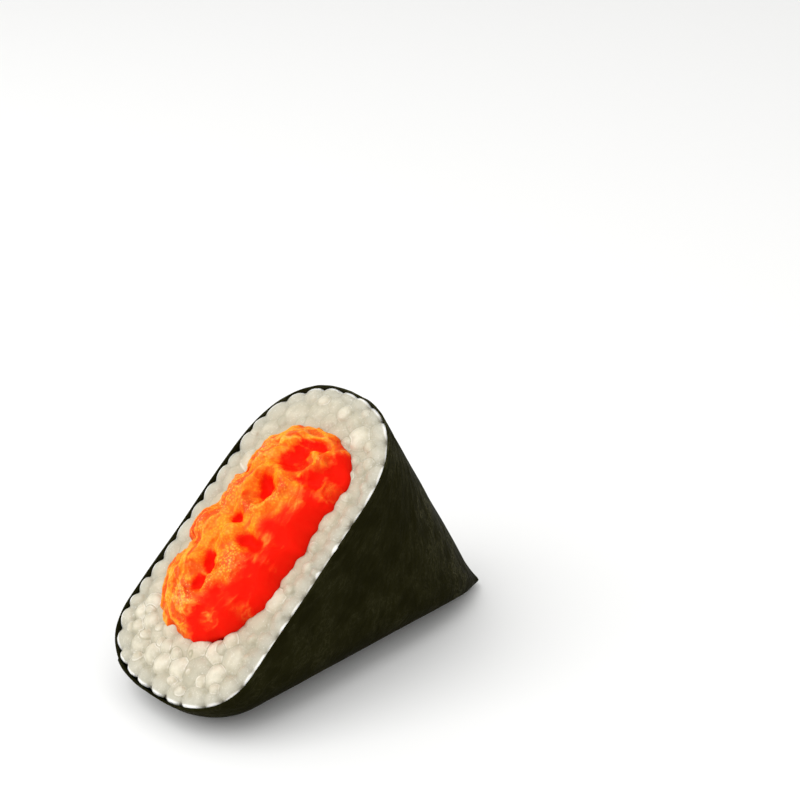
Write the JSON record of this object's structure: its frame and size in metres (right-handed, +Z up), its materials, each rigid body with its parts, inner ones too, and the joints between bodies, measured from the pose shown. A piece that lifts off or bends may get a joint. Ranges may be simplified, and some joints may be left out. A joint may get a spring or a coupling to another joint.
{
  "type": "onigiri half",
  "caption": "Half of a triangular rice ball in nori, cut through its apex and lying with the cut turned up to show rice and a lumpy orange filling.",
  "frame": {"origin": "centre of the bounding box's footprint, on the table", "axes": "+Z up; +X along the table from the rounded apex at the cut to the folded nori tip; Y across the thickness"},
  "size_m": [0.0794, 0.037, 0.0493],
  "materials": {
    "nori": "satin, finely wrinkled dark green-black sheet",
    "rice": "moist, slightly translucent grains",
    "filling": "moist, lumpy, orange on its crests and red in its hollows"
  },
  "bodies": {
    "root": {"nori": "nori", "rice": "rice", "filling": "filling"}
  },
  "joints": []
}
